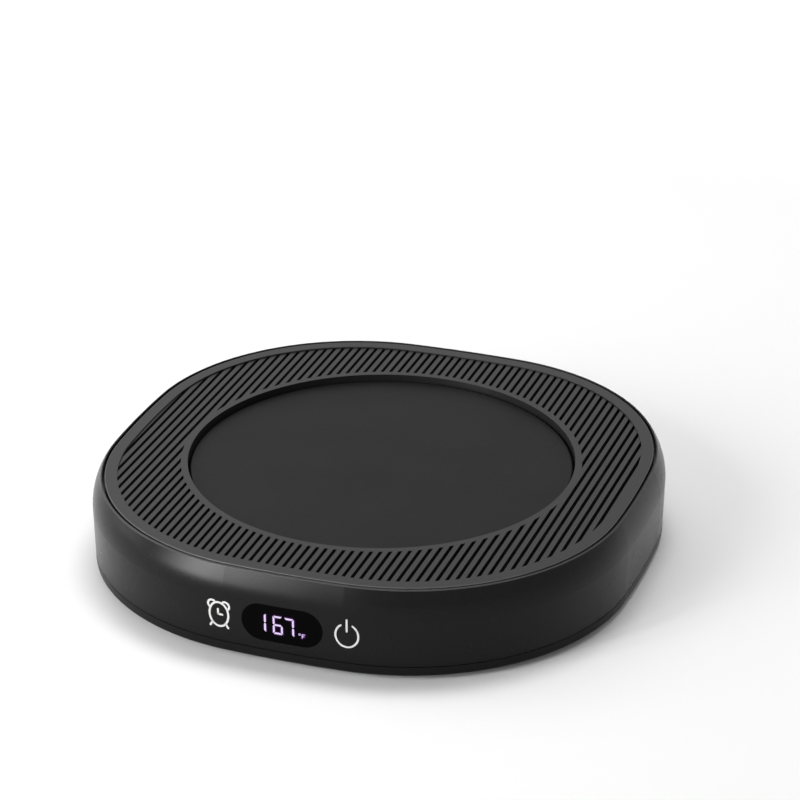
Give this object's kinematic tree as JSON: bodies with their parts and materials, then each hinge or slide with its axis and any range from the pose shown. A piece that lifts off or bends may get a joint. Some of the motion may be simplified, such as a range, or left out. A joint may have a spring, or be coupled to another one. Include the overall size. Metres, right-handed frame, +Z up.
{
  "type": "electric mug warmer",
  "caption": "Low rounded-square mug warmer base: round sprung hot plate set in a slotted deck, front display window with touch keys, cord inlet at the back.",
  "frame": {"origin": "on the table under the middle of the base", "axes": "+Z up, the display faces -Y, the cord inlet is at +Y"},
  "size_m": [0.13, 0.13, 0.0218],
  "materials": {
    "housing_black": "satin moulded ABS",
    "deck_black": "fine matt moulded ABS",
    "cover_black": "matt moulded ABS",
    "foot_rubber": "soft black rubber",
    "gland_rubber": "black PVC",
    "zinc_steel": "zinc plated",
    "tinned_steel": "tinned",
    "spring_steel": "drawn spring steel",
    "resin_brown": "heat-proof phenolic resin",
    "component_black": "moulded epoxy",
    "window_black": "smoked, polished",
    "contact_grey": "conductive foam",
    "board_green": "solder mask",
    "transformer_yellow": "polyester tape over ferrite",
    "can_aluminium": "sleeved can",
    "film_yellow": "moulded box",
    "terminal_green": "moulded",
    "fuse_glass": "clear tube with metal caps",
    "ribbon_grey": "flat PVC lead",
    "lead_red": "silicone insulation",
    "plate_coating": "black satin coating",
    "mica_sheet": "mica with etched foil",
    "felt_white": "ceramic fibre felt",
    "plunger_red": "moulded nylon"
  },
  "bodies": {
    "base": {"upper_housing": "housing_black", "top_panel": "deck_black", "bottom_cover": "cover_black", "rubber_feet": "foot_rubber", "cover_screws": "zinc_steel", "heater_tray": "resin_brown", "tray_screws": "zinc_steel", "switch_body": "component_black", "display_window": "window_black", "display_module": "component_black", "touch_contacts": "contact_grey", "control_board": "board_green", "controller_chip": "component_black", "buzzer": "component_black", "power_board": "board_green", "board_screws": "zinc_steel", "transformer": "transformer_yellow", "electrolytic_capacitor": "can_aluminium", "film_capacitor": "film_yellow", "terminal_block": "terminal_green", "glass_fuse": "fuse_glass", "fuse_clips": "tinned_steel", "bridge_rectifier": "component_black", "switching_transistor": "component_black", "ribbon_cable": "ribbon_grey", "heater_leads": "lead_red", "cord_gland": "gland_rubber", "cord_clamp": "component_black", "clamp_bar_screws": "zinc_steel", "plate_springs": "spring_steel"},
    "plate": {"heating_plate": "plate_coating", "heater_element": "mica_sheet", "insulation_pad": "felt_white", "backing_plate": "tinned_steel", "clamp_screws": "zinc_steel", "thermistor": "component_black", "thermal_fuse": "tinned_steel", "sensor_straps": "tinned_steel", "guide_pins": "zinc_steel", "retaining_clips": "spring_steel"},
    "plunger": {"switch_plunger": "plunger_red"}
  },
  "joints": [
    {"name": "plate_press", "type": "slide", "parent": "base", "child": "plate", "axis": [0, 0, -1], "range_m": [0, 0.0008], "stiffness_N_per_m": 3000, "springref_m": -0.0012, "deforming": ["plate_springs", "heater_leads"]},
    {"name": "plunger_press", "type": "slide", "parent": "base", "child": "plunger", "axis": [0, 0, -1], "range_m": [0, 0.0008]}
  ],
  "couplings": [
    {"joint": "plunger_press", "follows": "plate_press", "ratio": 1}
  ]
}
